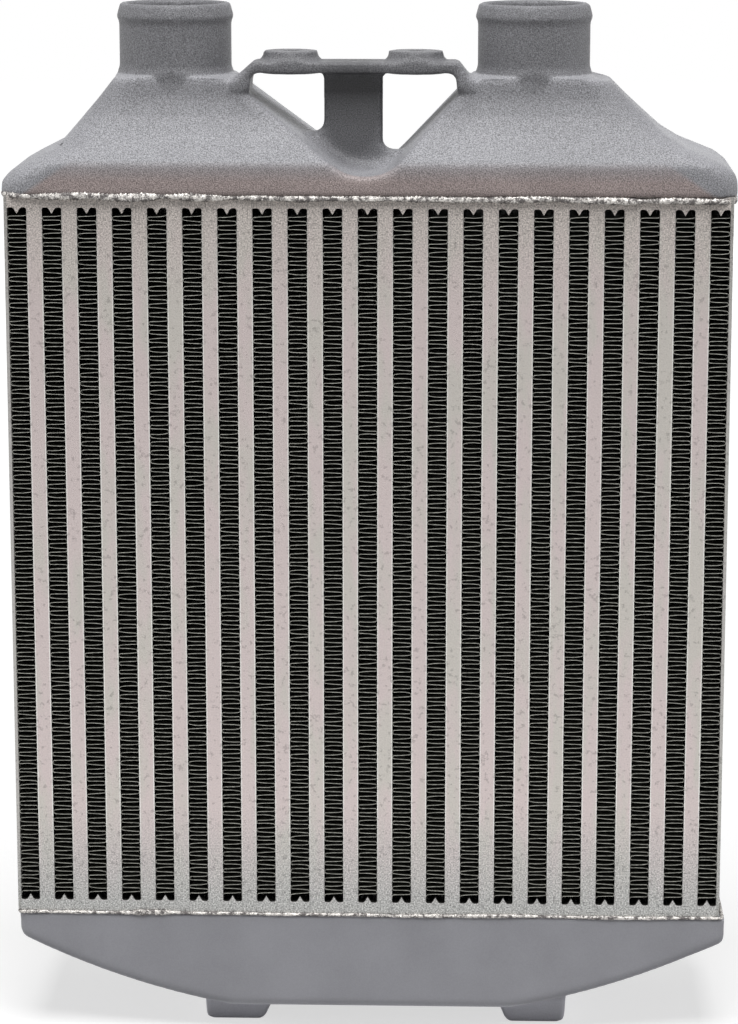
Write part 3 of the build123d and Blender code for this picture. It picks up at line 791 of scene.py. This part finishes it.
def rise(value, start, length):
    """A smooth step from 0 at start to 1 a length further on."""
    return smoothstep((value - start) / length)


def upper_move(p):
    """Moves on the upper tank, in mm."""
    moved = p.copy()
    x, y, z = p.T
    # The slopes lean back, and the plateau ends where they do.
    beside = rise(np.abs(x - TANK_MIDDLE_X), *BESIDE_BRACKET)
    lean = LEAN * np.clip(y / LEAN_FULL_Y, -1, 1) * beside * rise(z, LEAN_Z, PLATEAU_Z - LEAN_Z)
    moved[:, 1] = np.where(z < PLATEAU_Z, y - lean, y)
    foot = (z >= PLATEAU_Z) & (z < FOOT_TOP_Z) & (beside > 0.99)
    moved[foot, 1] = np.clip(y[foot], -PLATEAU_HALF_DEPTH, PLATEAU_HALF_DEPTH)
    x = np.where(z > PLATEAU_Z - 1.0, np.clip(x, PLATEAU_LEFT_X, PLATEAU_RIGHT_X), x)
    # A spigot's foot is pulled in towards the tube, so that it turns more sharply.
    across = np.abs(x - TANK_MIDDLE_X) - SPIGOT_ASIDE
    radius = np.hypot(across, moved[:, 1])
    on_foot = (z < FOOT_TOP_Z) * (radius > FOOT_INNER) * (radius < FOOT_OUTER)
    pull = FOOT_PULL * rise(z, *FOOT_PULL_STEP) * on_foot
    shrink = 1.0 - pull * (1.0 - FOOT_INNER / np.maximum(radius, FOOT_INNER))
    moved[:, 0] = x + np.sign(x - TANK_MIDDLE_X) * across * (shrink - 1.0)
    moved[:, 1] *= shrink
    # The bracket and the saddle's floor are lifted.
    on_bracket = smoothstep((BRACKET_HALF_WIDTH - np.abs(x - BRACKET_X)) / BRACKET_FADE)
    on_bracket = on_bracket * (y > BRACKET_FRONT_Y) * (y < BRACKET_REAR_Y)
    lift = BRACKET_LIFT * on_bracket * rise(z, *BRACKET_LIFT_STEP)
    on_floor = np.exp(-(((x - FLOOR_X) / FLOOR_WIDTH) ** 2))
    lift += FLOOR_LIFT * on_floor * rise(z, *FLOOR_FROM_STEP) * (1 - rise(z, *FLOOR_TO_STEP))
    moved[:, 2] += lift
    return moved


def lower_move(p):
    """Moves on the lower tank, in mm: its right end reaches out as far as the upper tank's."""
    moved = p.copy()
    reach = RIGHT_END_REACH * rise(p[:, 0], *RIGHT_END_STEP)
    moved[:, 0] = np.minimum(p[:, 0] + reach, FURTHEST_X)
    return moved


print("the right end's reach is", RIGHT_END_REACH, "mm and the bracket's lift", BRACKET_LIFT, "mm")

# %% [markdown]
# ## How far each part is smoothed
# The funnels are smoothed in full. Forms that are turned, thin or welded keep more of their
# edge, because a smaller share of each pass reaches them.

# %% Make the castings
FULL_SHARE, JOINT_SHARE = 0.5, 0.05


def upper_weight(p):
    """Share of each pass for the upper tank: full on the funnels, and less in zones, where the last wins."""
    x, y, z = p.T
    on_bracket = (np.abs(x - BRACKET_X) < BRACKET_HALF_WIDTH) & (y > BRACKET_FRONT_Y) & (y < BRACKET_REAR_Y)
    zones = [
        (z > 475.0, 0.2),  # the plateau
        ((np.abs(x - FLOOR_X) < 24.0) & (z > 429.0) & (z < 446.0), 0.2),  # the saddle's floor
        (z > 484.5, 0.10),  # the spigots
        (z > 503.0, 0.03),  # their hose beads
        (z < 427.0, 0.1),  # the joint with the core
        (np.abs(z - 439.0) < 4.0, 0.15),  # the rim's upper edge
        (on_bracket & (z > 469.5), 0.05),
    ]
    share = np.full(len(p), FULL_SHARE)
    for zone, value in zones:
        share[zone] = value
    return share


def lower_weight(p):
    """Share of each pass for the lower tank: full, but little in the 3 mm below its joint with the core."""
    return np.where(p[:, 2] > CORE_LOW - 3.0, JOINT_SHARE, FULL_SHARE)


softened(
    "upper_tank_casting", "top_tank", upper_fillets, voxel=1.36, passes=4,
    move=upper_move, weight=upper_weight, finish=cast,
)
softened(
    "lower_tank_casting", "bottom_tank", [], voxel=1.5, passes=5,
    move=lower_move, weight=lower_weight, finish=lower_cast,
)

# %% [markdown]
# ## Camera, floor and light
# The camera stands 1.65 m in front of the core, a little above it, and looks down by about
# twelve degrees, so upright edges draw together towards the bottom. A large lamp overhead and
# slightly in front lights whatever leans back and leaves the uprights darker. A lamp on each
# side brightens the spigots' flanks, and one behind shows the rear. The surroundings give a low
# fill and the pale floor throws some light back up.

# %% Camera
# The focal length in pixels of an upright picture this high. The sensor lies along its height.
FOCAL_PIXELS, PICTURE_HEIGHT_PIXELS, SENSOR_WIDTH = 3438.6, 1024, 36.0
CAMERA_PLACE, LOOKS_DOWN, TURNED_LEFT = (0.0553, -1.6973, 0.60973), 11.656, 1.893  # metres, degrees

camera_data = bpy.data.cameras.new("camera")
camera = bpy.data.objects.new("camera", camera_data)
bpy.context.collection.objects.link(camera)
camera_data.sensor_width = SENSOR_WIDTH
camera_data.lens = FOCAL_PIXELS * SENSOR_WIDTH / PICTURE_HEIGHT_PIXELS
camera.location = CAMERA_PLACE
camera.rotation_euler = (math.radians(90 - LOOKS_DOWN), 0.0, math.radians(TURNED_LEFT))
bpy.context.scene.camera = camera
print("lens", round(camera_data.lens, 1), "mm")

# %% Floor
FLOOR_HALF_WIDTH = 6  # metres
# Where it is seen, the floor pales with its distance from the middle, towards the white surroundings.
PALE_SPAN, PALE_GLOW = (0.5, 2.5), (0.63, 0.95)


def seen_directly(tree):
    """1 for a ray from the camera, straight or by way of a mirror or glass, and 0 for light that fills."""
    path = node(tree, "ShaderNodeLightPath").outputs
    shown = maths(tree, "MAXIMUM", path["Is Camera Ray"], path["Is Glossy Ray"])
    return maths(tree, "MAXIMUM", shown, path["Is Transmission Ray"])


floor_material, tree, output, place = new_finish("pale_floor")
matt = node(tree, "ShaderNodeBsdfDiffuse", {"Color": linear("#b0b0b0")})
away = vector_maths(tree, "LENGTH", place, output="Value")
pale = ramp(tree, away, PALE_SPAN, *PALE_GLOW)
glow = node(tree, "ShaderNodeEmission", {"Color": linear("#ffffff"), "Strength": pale})
extra = node(tree, "ShaderNodeMixShader", {0: seen_directly(tree)})
tree.links.new(glow.outputs[0], extra.inputs[2])
both = node(tree, "ShaderNodeAddShader", {0: matt.outputs[0], 1: extra.outputs[0]})
tree.links.new(both.outputs[0], output.inputs[0])

half = FLOOR_HALF_WIDTH
corners = [(-half, -half, 0), (half, -half, 0), (half, half, 0), (-half, half, 0)]
floor_mesh = bpy.data.meshes.new("floor")
floor_mesh.from_pydata(corners, [], [(0, 1, 2, 3)])
floor_mesh.materials.append(floor_material)
floor = bpy.data.objects.new("floor", floor_mesh)
bpy.context.collection.objects.link(floor)
print("floor", 2 * FLOOR_HALF_WIDTH, "m wide")

# %% Lamps and surroundings
SURROUNDING_LIGHT, SURROUNDING_SEEN = 0.12, 1.0


def lamp(name, place, target, size, power):
    """A square soft lamp at one point, aimed to shine at another, in metres and watts."""
    data = bpy.data.lights.new(name, "AREA")
    data.size, data.energy = size, power
    made = bpy.data.objects.new(name, data)
    bpy.context.collection.objects.link(made)
    made.location = place
    way = np.array(target) - np.array(place)
    tip = math.atan2(math.hypot(way[0], way[1]), -way[2])
    made.rotation_euler = (tip, 0.0, math.atan2(way[1], way[0]) - math.pi / 2)
    print(name, power, "W")


lamp("overhead", (0.0, -0.85, 2.4), (0.0, 0.0, 0.35), 1.3, 63.0)
lamp("left_side", (-2.4, 0.1, 0.7), (0.0, 0.0, 0.35), 1.2, 12.0)
lamp("right_side", (2.4, 0.1, 0.7), (0.0, 0.0, 0.35), 1.2, 12.0)
lamp("rear_fill", (0.5, 3.2, 0.4), (0.0, 0.0, 0.25), 1.4, 8.0)

world = bpy.data.worlds.new("surroundings")
bpy.context.scene.world = world
world.use_nodes = True
tree = world.node_tree
tree.nodes.clear()
level = ramp(tree, seen_directly(tree), (0.0, 1.0), SURROUNDING_LIGHT, SURROUNDING_SEEN)
sky = node(tree, "ShaderNodeBackground", {"Color": (1, 1, 1, 1), "Strength": level})
tree.links.new(sky.outputs[0], node(tree, "ShaderNodeOutputWorld").inputs[0])
bpy.context.scene.view_settings.view_transform = "Standard"
